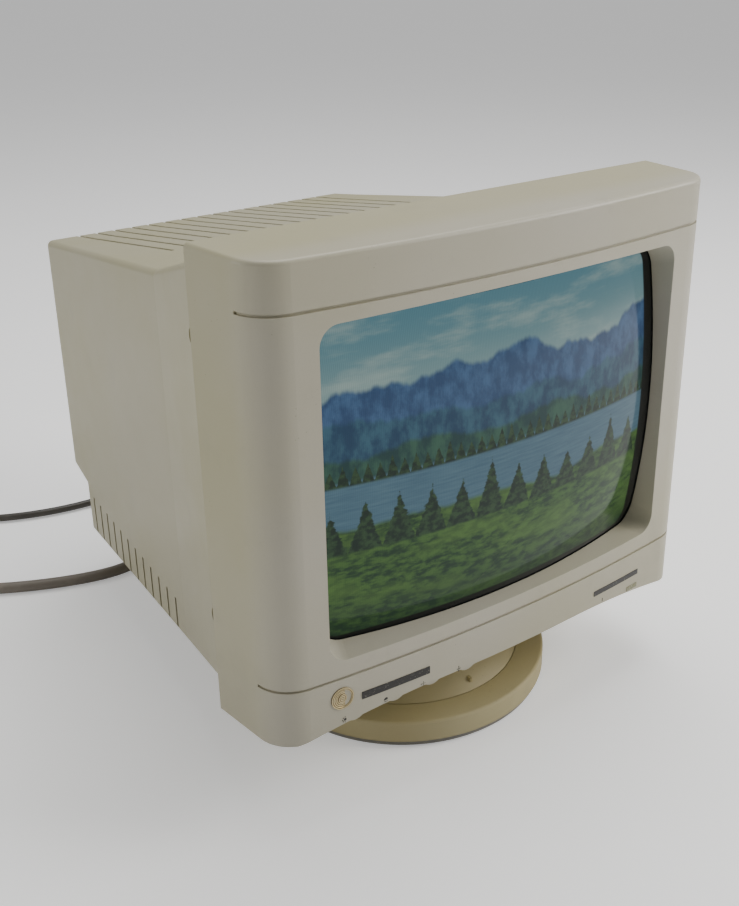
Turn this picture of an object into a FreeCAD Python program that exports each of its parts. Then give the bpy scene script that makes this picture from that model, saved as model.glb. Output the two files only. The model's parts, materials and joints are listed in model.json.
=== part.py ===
"""Desktop monitor with a 15-inch cathode ray tube on a tilt and swivel base.

Millimetres. The origin is on the desk, on the swivel axis. +Z is up, the screen faces -Y and
+X is to the right of someone facing the screen.
"""
import FreeCAD
import Part
import math
import os
from FreeCAD import Vector

# ---- driving dimensions: housing ----
WALL = 3.0
FRONT_Y = -128.6            # middle of the bowed front face
FRONT_SAGITTA = 12.2        # how far the face falls back at its corners
FRONT_HALF = 180.5          # half width at the front corners
REAR_HALF = 188.0           # half width where the bezel meets the cabinet
BEZEL_REAR_Y = -52.0
BEZEL_TOP = 383.0
CORNER_RADIUS = 26.7
TOP_EDGE_RADIUS = 3.0
SIDE_BOTTOM = 67.5
LIP_HIGH = 80.6             # lower edge of the front, in the middle
LIP_LOW = 68.5              # the same edge at the corners
LIP_FLAT_HALF = 60.0
LIP_CORNER_X = 168.0
FLOOR_LOW = 94.5
FLOOR_TOP = 97.0
UPPER_GROOVE_Z = 352.7
LOWER_GROOVE_Z = 109.6
GROOVE_WIDTH = 2.0
GROOVE_DEPTH = 1.4
GROOVE_END_Y = -96.0

# The cabinet is lofted through these sections: y, half width, bottom z, top z
CABINET_FRONT = (-52.0, 187.0, 90.0, 372.0)
CABINET_CREASE = (40.0, 166.0, 62.0, 342.6)
CABINET_STEP = (258.0, 146.6, 52.0, 311.2)
CABINET_REAR = (290.0, 144.0, 103.0, 307.0)
CABINET_STEP_Z = 96.0
CABINET_RADIUS = 4.5
CABINET_WALL = 2.8
TOP_SLOTS = 16
TOP_SLOT_PITCH = 15.6
TOP_SLOT_START_Y = 111.0
SIDE_SLOTS = 12
SIDE_SLOT_PITCH = 17.1
SIDE_SLOT_START_Y = 57.0
SLOT_WIDTH = 3.0

# ---- driving dimensions: picture tube ----
TUBE_Z = 232.5
GLASS_RADIUS = 600.0
GLASS_FRONT_Y = -127.5
PANEL_HALF = (156.0, 120.0)
PANEL_CORNER = 28.0
PANEL_REAR_Y = -60.0
PANEL_THICKNESS = 11.0
PICTURE_HALF = (137.0, 107.0)
NECK_RADIUS = 14.6
NECK_END_Y = 232.0
MASK_GAP = 14.0
EAR_X = 166.0
EAR_Z = 127.0
EAR_Y = -88.0
GLASS_GAP = 0.8
# the bevel of the aperture, at both ends of its slope: y, half width, half height, corner radius
APERTURE_FRONT = (-135.0, 148.0, 112.5, 11.0)
APERTURE_REAR = (-92.0, 137.3, 105.0, 17.0)

# ---- driving dimensions: controls ----
WHEEL_X = (-125.0, -94.5, -65.5, -36.5)
WHEEL_RADIUS = 10.0
WHEEL_THICKNESS = 5.0
WHEEL_SHOWS = 5.6
WHEEL_TEETH = 36
SHAFT_RADIUS = 2.95
SHAFT_CLEARANCE = 0.05
BEHIND_WALL = 0.3           # gap between the front wall and the controls
BUTTON_X = 92.0
BUTTON_HALF = 20.0
BUTTON_SHOWS = 2.3
BUTTON_TRAVEL = 3.0

# ---- driving dimensions: base ----
TILT_Z = 145.0              # tilt axis, along X through y = 0
ROCKER_RADIUS = 100.0
ROCKER_GAP = 0.4
ROCKER_HALF = 62.0
ROCKER_HALF_DEPTH = 48.0
SEAT_GAP = 0.05             # between the rocker and the cabinet it is screwed to
BASE_RADIUS = 112.0
BASE_TOP = 22.7
RECESS_RADIUS = 91.0
DOME_RADIUS = 90.4
DOME_TOP = 58.0
HUB_RADIUS = 19.95
FOOT_TOP = 4.9

# ---- driving dimensions: circuit boards and cables ----
BOARD_Z = 78.0
BOARD_THICKNESS = 1.6
BOARD_TOP = BOARD_Z + BOARD_THICKNESS
INLET_X = 70.0
SIGNAL_X = -50.0
CONNECTOR_Z = 74.0
SIGNAL_RADIUS = 4.9
CORD_RADIUS = 3.5
PLUG_X = -300.0
PLUG_Y = 420.0
PLUG_Z = 9.0
THUMBSCREW_SPACING = 24.99
MAINS_X = -235.0
MAINS_Y = 520.0
MAINS_Z = 14.0

Y_AXIS = Vector(0, 1, 0)
Z_AXIS = Vector(0, 0, 1)


# ---- general shapes ----
def block(x_range, y_range, z_range):
    """Box between three pairs of limits."""
    size = [high - low for low, high in (x_range, y_range, z_range)]
    return Part.makeBox(*size, Vector(x_range[0], y_range[0], z_range[0]))


def rod(radius, start, end):
    """Cylinder from one point to another."""
    direction = Vector(*end) - Vector(*start)
    return Part.makeCylinder(radius, direction.Length, Vector(*start), direction)


def polygon_face(points):
    """Flat face through three-dimensional corner points."""
    corners = [Vector(*point) for point in points]
    return Part.Face(Part.makePolygon(corners + corners[:1]))


def turned_y(profile, x=0.0, z=TUBE_Z):
    """Solid of revolution about a line along Y; the profile holds (y, radius) points."""
    return polygon_face([(x + r, y, z) for y, r in profile]).revolve(Vector(x, 0, z), Y_AXIS, 360)


def turned_z(profile, x=0.0, y=0.0):
    """Solid of revolution about a line along Z; the profile holds (radius, z) points."""
    return polygon_face([(x + r, y, z) for r, z in profile]).revolve(Vector(x, y, 0), Z_AXIS, 360)


def rounded_wire(y, half_x, z_low, z_high, radius):
    """Rounded rectangle standing in an XZ plane, centred on x = 0."""
    x, r = half_x, radius
    k = r * (1 - math.sqrt(0.5))
    corners = ((x, z_low, 1, -1), (x, z_high, 1, 1), (-x, z_high, -1, 1), (-x, z_low, -1, -1))
    arcs = []
    for corner_x, corner_z, sx, sz in corners:
        on_side = Vector(corner_x, y, corner_z - sz * r)
        middle = Vector(corner_x - sx * k, y, corner_z - sz * k)
        on_end = Vector(corner_x - sx * r, y, corner_z)
        ends = (on_side, on_end) if sx * sz > 0 else (on_end, on_side)
        arcs.append((ends[0], middle, ends[1]))
    edges = []
    for index, (start, middle, end) in enumerate(arcs):
        edges.append(Part.Arc(start, middle, end).toShape())
        edges.append(Part.LineSegment(end, arcs[(index + 1) % 4][0]).toShape())
    return Part.Wire(edges)


def tube_wire(y, half_x, half_z, radius):
    """Rounded rectangle centred on the tube's axis."""
    return rounded_wire(y, half_x, TUBE_Z - half_z, TUBE_Z + half_z, radius)


def tube_prism(y_range, half, radius):
    """Rounded rectangular prism about the tube's axis."""
    wire = tube_wire(y_range[0], half[0], half[1], radius)
    return Part.Face(wire).extrude(Vector(0, y_range[1] - y_range[0], 0))


def glass_ball(radius):
    """Ball concentric with the curved face of the tube."""
    return Part.makeSphere(radius, Vector(0, GLASS_FRONT_Y + GLASS_RADIUS, TUBE_Z))


def swept(points, radius):
    """Round cable along a smooth curve through the points."""
    curve = Part.BSplineCurve()
    curve.interpolate([Vector(*point) for point in points])
    start = curve.value(curve.FirstParameter)
    tangent = curve.tangent(curve.FirstParameter)[0]
    ring = Part.Wire(Part.makeCircle(radius, start, tangent))
    return Part.Wire(curve.toShape()).makePipeShell([ring], True, False)


def both_sides(shape):
    """The shape and its mirror image across x = 0."""
    return shape, shape.mirror(Vector(0, 0, 0), Vector(1, 0, 0))


def save(name, *solids):
    """Write one piece, or a group of identical loose ones, to its own file."""
    shape = solids[0] if len(solids) == 1 else Part.makeCompound(list(solids))
    shape.exportStep(f"parts/{name}.step")


# ---- shapes that several pieces share ----
def face_y(x):
    """Y of the bowed front face at a given x."""
    return FRONT_Y + FRONT_SAGITTA * (x / FRONT_HALF) ** 2


def lip_z(x):
    """Height of the front's lower edge at a given x."""
    share = max(0.0, abs(x) - LIP_FLAT_HALF) / (LIP_CORNER_X - LIP_FLAT_HALF)
    return LIP_HIGH - (LIP_HIGH - LIP_LOW) * share ** 2


def bezel_prism(inset, z_low, z_high, rear_y=BEZEL_REAR_Y):
    """Upright prism on the bezel's plan: bowed front, flared sides, round front corners."""
    corner_y = FRONT_Y + FRONT_SAGITTA + inset
    front_half = FRONT_HALF - inset
    rear_half = REAR_HALF - inset
    left_front = Vector(-front_half, corner_y, z_low)
    right_front = Vector(front_half, corner_y, z_low)
    left_rear = Vector(-rear_half, rear_y, z_low)
    right_rear = Vector(rear_half, rear_y, z_low)
    edges = [
        Part.Arc(left_front, Vector(0, FRONT_Y + inset, z_low), right_front).toShape(),
        Part.LineSegment(right_front, right_rear).toShape(),
        Part.LineSegment(right_rear, left_rear).toShape(),
        Part.LineSegment(left_rear, left_front).toShape(),
    ]
    prism = Part.Face(Part.Wire(edges)).extrude(Vector(0, 0, z_high - z_low))
    corners = [
        edge for edge in prism.Edges
        if abs(edge.Vertexes[0].X - edge.Vertexes[-1].X) < 0.01
        and abs(edge.Vertexes[0].Y - corner_y) < 0.01
        and abs(edge.Vertexes[-1].Y - corner_y) < 0.01
    ]
    return prism.makeFillet(CORNER_RADIUS - inset, corners)


def cabinet_form(inset):
    """Outer form of the cabinet, or its hollow when inset is the wall's thickness."""
    def section(station, y, z_low=None):
        half, low, high = station[1:]
        low = low if z_low is None else z_low
        return rounded_wire(y, half - inset, low + inset, high - inset, CABINET_RADIUS - inset)

    front_y = CABINET_FRONT[0] - inset
    lower = [
        section(CABINET_FRONT, front_y),
        section(CABINET_CREASE, CABINET_CREASE[0]),
        section(CABINET_STEP, CABINET_STEP[0] - inset),
    ]
    upper = [
        section(CABINET_STEP, CABINET_STEP[0] - 2 * inset, CABINET_STEP_Z),
        section(CABINET_REAR, CABINET_REAR[0] - inset),
    ]
    return Part.makeLoft(lower, True, True).fuse(Part.makeLoft(upper, True, True))


def belly_z(y):
    """Height of the cabinet's underside at a given y."""
    low, high = (CABINET_FRONT, CABINET_CREASE)
    if y > CABINET_CREASE[0]:
        low, high = (CABINET_CREASE, CABINET_STEP)
    return low[2] + (high[2] - low[2]) * (y - low[0]) / (high[0] - low[0])


def below_lip():
    """Everything under the arched lower edge of the front."""
    reach = REAR_HALF + 20
    y = FRONT_Y - 20
    left, right = Vector(-LIP_CORNER_X, y, LIP_LOW), Vector(LIP_CORNER_X, y, LIP_LOW)
    inner_left, inner_right = Vector(-LIP_FLAT_HALF, y, LIP_HIGH), Vector(LIP_FLAT_HALF, y, LIP_HIGH)
    middle_x = (LIP_CORNER_X + LIP_FLAT_HALF) / 2
    outline = [
        Part.LineSegment(Vector(-reach, y, 0), Vector(-reach, y, SIDE_BOTTOM)),
        Part.LineSegment(Vector(-reach, y, SIDE_BOTTOM), left),
        Part.Arc(left, Vector(-middle_x, y, lip_z(middle_x)), inner_left),
        Part.LineSegment(inner_left, inner_right),
        Part.Arc(inner_right, Vector(middle_x, y, lip_z(middle_x)), right),
        Part.LineSegment(right, Vector(reach, y, SIDE_BOTTOM)),
        Part.LineSegment(Vector(reach, y, SIDE_BOTTOM), Vector(reach, y, 0)),
        Part.LineSegment(Vector(reach, y, 0), Vector(-reach, y, 0)),
    ]
    face = Part.Face(Part.Wire([edge.toShape() for edge in outline]))
    return face.extrude(Vector(0, BEZEL_REAR_Y - y + 20, 0))


def groove(z):
    """Tool for a narrow groove round the front and its corners."""
    low, high = z - GROOVE_WIDTH / 2, z + GROOVE_WIDTH / 2
    ring = bezel_prism(-1.0, low, high).cut(bezel_prism(GROOVE_DEPTH, low - 1, high + 1))
    return ring.common(block((-200, 200), (-150, GROOVE_END_Y), (low - 1, high + 1)))


def aperture_loft(growth):
    """Tapered opening in front of the screen, or its rim's outside when grown."""
    wires = [
        tube_wire(y, half_x + growth, half_z + growth, radius + growth)
        for y, half_x, half_z, radius in (APERTURE_FRONT, APERTURE_REAR)
    ]
    return Part.makeLoft(wires, True, True)


def ear_places():
    """Centres of the four screws that hold the tube."""
    return [(x, TUBE_Z + z) for x in (-EAR_X, EAR_X) for z in (-EAR_Z, EAR_Z)]


def face_patch(outline, proud, sunk):
    """Thin plate that follows the bowed face inside an outline running along Y."""
    z_low = outline.BoundBox.ZMin - 5
    z_high = outline.BoundBox.ZMax + 5
    skin = bezel_prism(-proud, z_low, z_high).cut(bezel_prism(sunk, z_low - 1, z_high + 1))
    return outline.common(skin)


# ---- marks on the front ----
def badge_roundel():
    """Plain round badge with a raised rim."""
    x, z = -137.0, 94.6
    disc = face_patch(rod(8.0, (x, -140, z), (x, -100, z)), 0.6, 0.8)
    dish = rod(6.4, (x, -140, z), (x, face_y(x) - 0.2, z))
    button = rod(3.2, (x, face_y(x) - 0.5, z), (x, face_y(x), z))
    return disc.cut(dish).fuse(button)


def badge_bars():
    """Plain dark bar on either side of the front's lower band."""
    left_bar = block((-123, -71), (-140, -100), (88.4, 93.8))
    right_bar = block((82, 132), (-140, -100), (89.0, 93.0))
    return [face_patch(bar, 0.4, 0.8) for bar in (left_bar, right_bar)]


def indicator_lens():
    """Window of the power indicator, let through the wall."""
    outline = block((120, 132), (-140, -116), (77.8, 81.4))
    return outline.common(bezel_prism(-0.3, 70, 90))


# ---- front bezel ----
def front_bezel():
    """Front shell: arched lip, aperture rim, floor with windows and screw bosses."""
    outer = bezel_prism(0, 60, BEZEL_TOP)
    top_edges = [edge for edge in outer.Edges if edge.BoundBox.ZMin > BEZEL_TOP - 1]
    outer = outer.makeFillet(TOP_EDGE_RADIUS, [e for e in top_edges if e.BoundBox.YMin < BEZEL_REAR_Y - 1])
    shell = outer.cut(bezel_prism(WALL, FLOOR_TOP, BEZEL_TOP - WALL, BEZEL_REAR_Y + 20))
    shell = shell.cut(bezel_prism(WALL, 50, FLOOR_LOW, BEZEL_REAR_Y + 20))
    bosses = [rod(5.0, (x, -122, z), (x, EAR_Y, z)) for x, z in ear_places()]
    bosses = [boss.common(bezel_prism(1.0, 60, BEZEL_TOP)) for boss in bosses]
    rim = aperture_loft(WALL).common(bezel_prism(0.5, 60, BEZEL_TOP))
    rim = rim.cut(glass_ball(GLASS_RADIUS + GLASS_GAP))
    tongues = both_sides(block((108, 132), (BEZEL_REAR_Y - 2, -36), (FLOOR_LOW, FLOOR_TOP)))
    shell = shell.fuse([rim, rear_flange(), *bosses, *tongues])
    tools = [below_lip(), aperture_loft(0)]
    tools += [groove(UPPER_GROOVE_Z), groove(LOWER_GROOVE_Z)]
    tools += [rod(2.0, (x, EAR_Y - 14, z), (x, EAR_Y + 1, z)) for x, z in ear_places()]
    tools += [control_window(x) for x in WHEEL_X]
    tools += [block((BUTTON_X - 7, BUTTON_X + 7), (-122, -114), (FLOOR_LOW - 1, FLOOR_TOP + 1))]
    tools += [badge_roundel(), *badge_bars(), indicator_lens()]
    tools += both_sides(rod(1.5, (120, -44, 90), (120, -44, 100)))
    return shell.cut(tools)


def rear_flange():
    """Closes the bezel's rear edge outside the cabinet's opening."""
    y, half, low, high = CABINET_FRONT
    opening = rounded_wire(y - WALL - 1, half - CABINET_WALL, low + CABINET_WALL, high - CABINET_WALL,
                           CABINET_RADIUS - CABINET_WALL)
    plate = bezel_prism(WALL / 2, low, BEZEL_TOP - WALL / 2)
    plate = plate.common(block((-200, 200), (y - WALL, y), (low, BEZEL_TOP)))
    return plate.cut(Part.Face(opening).extrude(Vector(0, WALL + 2, 0)))


def control_window(x):
    """Opening in the floor that a thumbwheel and its potentiometer hang through."""
    return block((x - 13.4, x + 13.4), (face_y(x) + WALL, face_y(x) + 22), (FLOOR_LOW - 1, FLOOR_TOP + 1))


# ---- rear cabinet ----
def rear_cabinet():
    """Tapering rear shell with vent slots, connector openings and posts."""
    hollow = cabinet_form(CABINET_WALL)
    shell = cabinet_form(0).cut(hollow)
    posts = [rod(4.5, (x, y, 40), (x, y, BOARD_Z)) for x, y in board_screws()]
    posts += [rod(4.5, (x, y, 40), (x, y, belly_z(y) + 10)) for x, y in rocker_screws()]
    posts += [rod(4.5, (x, -44, 40), (x, -44, FLOOR_LOW)) for x in (-120, 120)]
    room = cabinet_form(CABINET_WALL / 2)
    shell = shell.fuse([post.common(room) for post in posts])
    tools = top_slots() + side_slots() + snap_marks()
    tools += [rod(1.5, (x, y, BOARD_Z - 8), (x, y, BOARD_Z + 1)) for x, y in board_screws()]
    tools += [rod(1.5, (x, y, belly_z(y) - 4), (x, y, belly_z(y) + 8)) for x, y in rocker_screws()]
    tools += [rod(1.5, (x, -44, 80), (x, -44, FLOOR_LOW + 1)) for x in (-120, 120)]
    tools += [rod(3.6, (x, -44, 80), (x, -44, belly_z(-44) + 2.2)) for x in (-120, 120)]
    tools.append(block((INLET_X - 14.2, INLET_X + 14.2), (240, 270), (CONNECTOR_Z - 10.2, CONNECTOR_Z + 10.2)))
    tools.append(rod(7.0, (SIGNAL_X, 240, CONNECTOR_Z), (SIGNAL_X, 270, CONNECTOR_Z)))
    return shell.cut(tools)


def top_slots():
    """Vent slots of the top, open at the rear edge."""
    first = -TOP_SLOT_PITCH * (TOP_SLOTS - 1) / 2
    places = [first + TOP_SLOT_PITCH * index for index in range(TOP_SLOTS)]
    z_range = (CABINET_REAR[3] - 6, CABINET_FRONT[3])
    return [
        block((x - SLOT_WIDTH / 2, x + SLOT_WIDTH / 2), (TOP_SLOT_START_Y, CABINET_REAR[0] + 5), z_range)
        for x in places
    ]


def side_slots():
    """Vent slots of both sides, running round the lower edge into the belly."""
    tools = []
    for index in range(SIDE_SLOTS):
        y = SIDE_SLOT_START_Y + SIDE_SLOT_PITCH * index
        tools += both_sides(block((128, 180), (y - SLOT_WIDTH / 2, y + SLOT_WIDTH / 2), (40, 90)))
    return tools


def snap_marks():
    """Shallow half-round marks of the snap hooks, at the front edge of both sides."""
    tools = []
    for z in (138, 327):
        tools += both_sides(rod(5.0, (184.6, -50, z), (190, -50, z)))
    return tools


def board_screws():
    return [(x, y) for x in (-110, 110) for y in (25, 235)]


def rocker_screws():
    return [(x, y) for x in (-70, 70) for y in (-24, 22)]


def screw(x, y, z_head, length, down):
    """Self-tapping screw with a pan head, driven down or up along Z."""
    way = -1 if down else 1
    shank = rod(1.4, (x, y, z_head), (x, y, z_head + way * length))
    head = rod(3.2, (x, y, z_head), (x, y, z_head - way * 2.2))
    return shank.fuse(head).cut(block((x - 2.4, x + 2.4), (y - 0.4, y + 0.4), driver_slot(z_head, way)))


def driver_slot(z_head, way):
    """Z limits of the slot in a screw's head."""
    return tuple(sorted((z_head - way * 2.2, z_head - way * 1.2)))


def cabinet_screws():
    """All the self-tapping screws of the housing, which are the same size."""
    board = [screw(x, y, BOARD_TOP, 7.5, True) for x, y in board_screws()]
    rocker = [screw(x, y, belly_z(y) - 5.0, 11, False) for x, y in rocker_screws()]
    bezel = [screw(x, -44, belly_z(-44) + 2.2, 9, False) for x in (-120, 120)]
    return board + rocker + bezel


# ---- picture tube ----
def crt_panel():
    """Thick curved front glass with its skirt."""
    outer = tube_prism((-140, PANEL_REAR_Y), PANEL_HALF, PANEL_CORNER).common(glass_ball(GLASS_RADIUS))
    half = (PANEL_HALF[0] - 9, PANEL_HALF[1] - 9)
    inner = tube_prism((-140, PANEL_REAR_Y + 1), half, PANEL_CORNER - 8)
    return outer.cut(inner.common(glass_ball(GLASS_RADIUS - PANEL_THICKNESS)))


def funnel_form(inset):
    """Funnel and neck, outside or inside."""
    stations = ((-60, 156, 120, 28), (-30, 146, 111, 40), (10, 119, 93, 52), (50, 84, 69, 52),
                (78, 54, 49, 45), (95, 36, 36, 35.9))
    wires = [tube_wire(y, x - inset, z - inset, r - inset) for y, x, z, r in stations]
    neck_inset = min(inset, 1.8)
    neck = NECK_RADIUS - neck_inset
    profile = ((94.9, 0), (94.9, 36 - inset), (126, neck), (NECK_END_Y - neck_inset, neck),
               (NECK_END_Y - neck_inset, 0))
    return Part.makeLoft(wires, True, True).fuse(turned_y(profile))


def crt_funnel():
    opening = tube_prism((-60.5, -59.9), (PANEL_HALF[0] - 3.5, PANEL_HALF[1] - 3.5), PANEL_CORNER - 3.5)
    return funnel_form(0).cut([funnel_form(3.5), opening])


def curved_sheet(radius, thickness, half, corner):
    """Thin sheet concentric with the face glass."""
    shell = glass_ball(radius).cut(glass_ball(radius - thickness))
    return tube_prism((-140, -70), half, corner).common(shell)


def phosphor_screen():
    return curved_sheet(GLASS_RADIUS - PANEL_THICKNESS - 0.1, 0.6, PICTURE_HALF, 14)


def shadow_mask():
    """Perforated sheet, its holes too fine to model, with a skirt inside the frame."""
    radius = GLASS_RADIUS - PANEL_THICKNESS - MASK_GAP
    sheet = curved_sheet(radius, 0.6, (134, 104), 10)
    skirt = tube_prism((-100, -72), (134, 104), 10).cut(tube_prism((-101, -71), (133.4, 103.4), 9.4))
    return sheet.fuse(skirt.common(glass_ball(radius)))


def mask_frame():
    return tube_prism((-77, -62), (144, 109), 18).cut(tube_prism((-78, -61), (134.4, 104.4), 10.4))


def inner_shield():
    """Funnel-shaped magnetic shield behind the mask."""
    def cone(inset):
        wires = [tube_wire(-61.8, 136 - inset, 100 - inset, 12), tube_wire(10, 95 - inset, 70 - inset, 12)]
        return Part.makeLoft(wires, True, True)
    return cone(0).cut(cone(0.6))


def electron_gun():
    """Stacked electrodes on two glass rods."""
    electrodes = ((150, 172, 9.0), (174, 192, 7.5), (194, 202, 9.5), (204, 228, 6.0))
    cups = [rod(radius, (0, start, TUBE_Z), (0, end, TUBE_Z)) for start, end, radius in electrodes]
    rods = [rod(1.8, (x, 160, TUBE_Z), (x, 222, TUBE_Z)) for x in (-9.5, 9.5)]
    straps = [block((-9.5, 9.5), (y, y + 1.2), (TUBE_Z - 1, TUBE_Z + 1)) for y in (180, 198, 214)]
    spine = rod(2.0, (0, 150, TUBE_Z), (0, 228, TUBE_Z))
    return cups[0].fuse(cups[1:] + rods + straps + [spine])


def ring_of_pins(count, circle, radius, start_y, end_y):
    pins = []
    for index in range(count):
        angle = 2 * math.pi * (index + 0.5) / (count + 1)
        x = circle * math.cos(angle)
        z = TUBE_Z + circle * math.sin(angle)
        pins.append(rod(radius, (x, start_y, z), (x, end_y, z)))
    return pins


def crt_pin_base():
    body = rod(12.8, (0, NECK_END_Y + 0.1, TUBE_Z), (0, 238, TUBE_Z))
    key = rod(3.0, (0, 237, TUBE_Z), (0, 240.5, TUBE_Z))
    return body.fuse([key, *ring_of_pins(10, 9.0, 0.6, 237, 240.5)])


def rim_band():
    """Steel tension band round the panel, with four ears."""
    inner_half = (PANEL_HALF[0] + 0.2, PANEL_HALF[1] + 0.2)
    outer_half = (PANEL_HALF[0] + 1.6, PANEL_HALF[1] + 1.6)
    hollow = tube_prism((-100, -50), inner_half, PANEL_CORNER + 0.2)
    band = tube_prism((EAR_Y, -68), outer_half, PANEL_CORNER + 1.6).cut(hollow)
    ears = []
    for x, z in ear_places():
        x_range = tuple(sorted((x * 0.85, x + math.copysign(6.5, x))))
        z_range = tuple(sorted((TUBE_Z + (z - TUBE_Z) * 0.86, z + math.copysign(6.5, z - TUBE_Z))))
        ear = block(x_range, (EAR_Y, EAR_Y + 2), z_range)
        ears.append(ear.cut([hollow, rod(2.6, (x, -95, z), (x, -80, z))]))
    return band.fuse(ears)


def tube_screws():
    screws = []
    for x, z in ear_places():
        shank = rod(1.9, (x, EAR_Y - 12, z), (x, EAR_Y + 2, z))
        head = rod(4.6, (x, EAR_Y + 2, z), (x, EAR_Y + 6, z))
        slot = block((x - 3.4, x + 3.4), (EAR_Y + 5, EAR_Y + 6), (z - 0.5, z + 0.5))
        screws.append(shank.fuse(head).cut(slot))
    return screws


def degaussing_coil():
    """Taped copper loop behind the panel's edge."""
    path = tube_wire(-52, 165, 129.5, 38)
    start = path.OrderedVertexes[0].Point
    tangent = path.OrderedEdges[0].tangentAt(path.OrderedEdges[0].FirstParameter)
    ring = Part.Wire(Part.makeCircle(4.5, start, tangent))
    return path.makePipeShell([ring], True, False)


def anode_cap():
    """Rubber cap over the high-voltage contact on top of the funnel."""
    lean = Vector(0, 0.5, 1)
    foot = Vector(0, 20, TUBE_Z + 80)
    skirt = Part.makeCylinder(21, 14, foot, lean)
    crown = Part.makeCone(12, 8, 8, foot + lean.normalize() * 14, lean)
    return skirt.fuse(crown).cut(funnel_form(-0.2))


def anode_lead():
    """Lead from the cap's crown to the well of the flyback transformer."""
    points = ((0, 28, 329), (-10, 38, 332.5), (-30, 75, 322), (-84, 130, 286), (-112, 172, 226), (-104, 186, 170),
              (-104, 186, 152))
    return swept(points, 2.4).cut([anode_cap(), flyback_transformer()])


def earth_braid():
    """Braid that hangs round the funnel and earths its coating."""
    half = [(-70, 28, 137), (-128, -30, 118.5), (-145, -60, 116.2), (-157, EAR_Y + 2, 110)]
    other = [(-x, y, z) for x, y, z in half]
    return swept([*reversed(half), (0, 62, 148), *other], 1.3).cut(rim_band())


# ---- deflection yoke ----
def yoke_former():
    """Plastic cone between the windings, with two flanges and a slit collar."""
    profile = ((94, 44.5), (94, 61), (96, 61), (96, 47), (128, 25.5), (150, 23.5), (150, 34), (152, 34),
               (152, 17.4), (167, 17.4), (167, 15.0), (150.2, 15.0), (150.2, 21.0), (126, 23.0), (96, 44.5))
    slits = [block((-20, 20), (156, 168), (TUBE_Z - 1, TUBE_Z + 1))]
    slits.append(block((-1, 1), (156, 168), (TUBE_Z - 20, TUBE_Z + 20)))
    return turned_y(profile).cut(slits)


def yoke_coils():
    """Line windings inside the former and frame windings outside it, two saddles each."""
    line = turned_y(((96.2, 38.5), (96.2, 43.8), (126, 22.4), (150, 20.4), (150, 15.6), (125, 17.6)))
    frame = turned_y(((98, 46.5), (98, 51), (129, 31), (148, 29), (148, 24.2), (129, 26.0)))
    level_gap = block((-70, 70), (90, 160), (TUBE_Z - 2, TUBE_Z + 2))
    upright_gap = block((-2, 2), (90, 160), (TUBE_Z - 70, TUBE_Z + 70))
    return line.cut(level_gap).Solids + frame.cut(upright_gap).Solids


def yoke_core():
    """Ferrite ring in two halves."""
    ring = turned_y(((100, 51.5), (100, 60), (130, 41), (142, 38), (142, 30.4), (130, 31.8)))
    return ring.cut(block((-70, 70), (90, 160), (TUBE_Z - 0.3, TUBE_Z + 0.3))).Solids


def yoke_clamp():
    """Band with a screw that grips the collar on the neck."""
    band = turned_y(((157, 17.5), (157, 19.2), (163, 19.2), (163, 17.5)))
    gap = block((-1.5, 1.5), (150, 170), (TUBE_Z + 10, TUBE_Z + 30))
    lugs = [block((x, x + 1.5), (157, 163), (TUBE_Z + 18.5, TUBE_Z + 27)) for x in (-3, 1.5)]
    bolt = rod(1.5, (-7, 160, TUBE_Z + 23), (6, 160, TUBE_Z + 23))
    head = rod(3.0, (-9, 160, TUBE_Z + 23), (-3, 160, TUBE_Z + 23))
    return band.cut(gap).fuse([*lugs, bolt, head])


def convergence_rings():
    """Sleeve with three pairs of magnet rings, locked after adjustment at the factory."""
    pieces = [turned_y(((172, 15.0), (172, 16.6), (206, 16.6), (206, 15.0)))]
    for index, y in enumerate((175, 178, 184, 187, 193, 196)):
        ring = turned_y(((y, 16.7), (y, 24), (y + 2, 24), (y + 2, 16.7)))
        tab = block((-2.5, 2.5), (y, y + 2), (TUBE_Z + 22, TUBE_Z + 31))
        turn = 25 + 18 * index
        tab.rotate(Vector(0, 0, TUBE_Z), Y_AXIS, turn)
        pieces.append(ring.fuse(tab))
    return pieces


# ---- neck board ----
def tube_socket():
    """Socket on the pin base, with a cavity for the pins."""
    outside = rod(18, (0, 234, TUBE_Z), (0, 243, TUBE_Z))
    seat = rod(13.0, (0, 233, TUBE_Z), (0, 241, TUBE_Z))
    spark_gaps = block((-6, 6), (236, 243), (TUBE_Z + 15, TUBE_Z + 26))
    return outside.fuse(spark_gaps).cut(seat)


def neck_board():
    """Video output board with its small parts and two video transistors' plates."""
    board = block((-44, 44), (243.1, 244.7), (TUBE_Z - 40, TUBE_Z + 46))
    plates = [block((x, x + 2), (244.8, 270), (TUBE_Z - 30, TUBE_Z + 20)) for x in (-30, 28)]
    parts = []
    for row in range(4):
        for column in range(3):
            x, z = -14 + 14 * column, TUBE_Z - 30 + 18 * row
            parts.append(rod(2.6, (x, 244.8, z), (x, 252 + 3 * (row % 2), z)))
    return [board, *plates, *parts]


# ---- main board ----
def main_board():
    """Single-sided board with its small parts."""
    board = block((-125, 125), (8, 245), (BOARD_Z, BOARD_TOP))
    tools = [rod(1.7, (x, y, BOARD_Z - 1), (x, y, BOARD_TOP + 1)) for x, y in board_screws()]
    tools += [
        block((x - half, x + half), (230, 250), (BOARD_Z - 1, BOARD_TOP + 1))
        for x, half in ((INLET_X, 15), (SIGNAL_X, 8))
    ]
    parts = []
    for row in range(5):
        for column in range(6):
            x, y = -60 + 20 * column, 40 + 18 * row
            parts.append(block((x, x + 9), (y, y + 3.5), (BOARD_TOP, BOARD_TOP + 4 + row)))
    return [board.cut(tools), *parts]


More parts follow.
